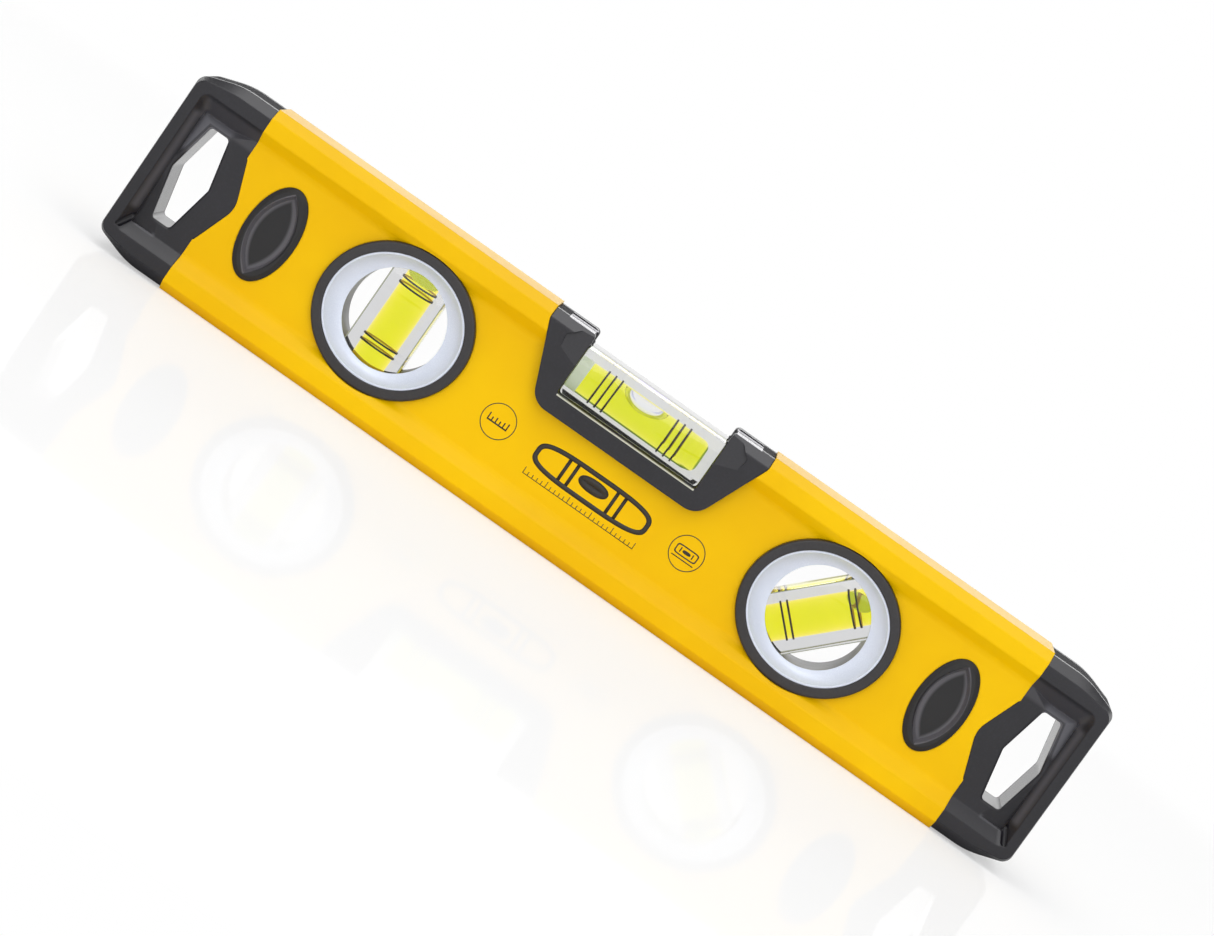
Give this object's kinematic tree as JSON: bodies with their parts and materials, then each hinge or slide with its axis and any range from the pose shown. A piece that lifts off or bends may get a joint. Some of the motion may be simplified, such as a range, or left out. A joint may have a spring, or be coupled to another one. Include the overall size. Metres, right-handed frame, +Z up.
{
  "type": "spirit level",
  "caption": "Short box-section spirit level with a horizontal vial in a top notch, upright and 45 degree vials in oval windows, and end caps with hanging holes.",
  "frame": {"origin": "middle of the bottom measuring face", "axes": "+X along the length, -Y out of the front face, +Z up"},
  "size_m": [0.25, 0.022, 0.0487],
  "materials": {
    "yellow_paint": "satin yellow powder coat on aluminium",
    "cap_plastic": "fine-textured black plastic",
    "insert_plastic": "fine-textured black plastic",
    "holder_plastic": "fine-textured black plastic with glossy edges",
    "bezel_plastic": "black plastic",
    "dish_plastic": "smooth pale grey plastic",
    "clear_acrylic": "polished clear acrylic",
    "plug_plastic": "milky plastic",
    "vial_liquid": "clear yellow-green liquid",
    "air_bubble": "air seen through the liquid",
    "mark_black": "black ring"
  },
  "bodies": {
    "casing": {"angle_bezel_front": "bezel_plastic", "angle_bezel_rear": "bezel_plastic", "angle_dish_front": "dish_plastic", "angle_dish_rear": "dish_plastic", "angle_liquid": "vial_liquid", "angle_marks": "mark_black", "angle_plug": "plug_plastic", "angle_vial": "clear_acrylic", "end_cap_left": "cap_plastic", "end_cap_right": "cap_plastic", "level_liquid": "vial_liquid", "level_marks": "mark_black", "level_plug": "plug_plastic", "level_vial": "clear_acrylic", "oval_insert_front_left": "insert_plastic", "oval_insert_front_right": "insert_plastic", "oval_insert_rear_left": "insert_plastic", "oval_insert_rear_right": "insert_plastic", "plumb_bezel_front": "bezel_plastic", "plumb_bezel_rear": "bezel_plastic", "plumb_dish_front": "dish_plastic", "plumb_dish_rear": "dish_plastic", "plumb_liquid": "vial_liquid", "plumb_marks": "mark_black", "plumb_plug": "plug_plastic", "plumb_vial": "clear_acrylic", "profile": "yellow_paint", "vial_holder": "holder_plastic"},
    "level_bubble_air": {"level_bubble": "air_bubble"},
    "plumb_bubble_air": {"plumb_bubble": "air_bubble"},
    "angle_bubble_air": {"angle_bubble": "air_bubble"}
  },
  "joints": [
    {"name": "level_bubble_slide", "type": "slide", "parent": "casing", "child": "level_bubble_air", "axis": [1, 0, 0], "range_m": [-0.0084, 0.0103], "stiffness_N_per_m": 0.5, "deforming": ["level_liquid"]},
    {"name": "plumb_bubble_slide", "type": "slide", "parent": "casing", "child": "plumb_bubble_air", "axis": [0, 0, 1], "range_m": [-0.0213, 0], "stiffness_N_per_m": 5, "deforming": ["plumb_liquid"]},
    {"name": "angle_bubble_slide", "type": "slide", "parent": "casing", "child": "angle_bubble_air", "axis": [0.7071, 0, 0.7071], "range_m": [-0.0188, 0], "stiffness_N_per_m": 5, "deforming": ["angle_liquid"]}
  ]
}
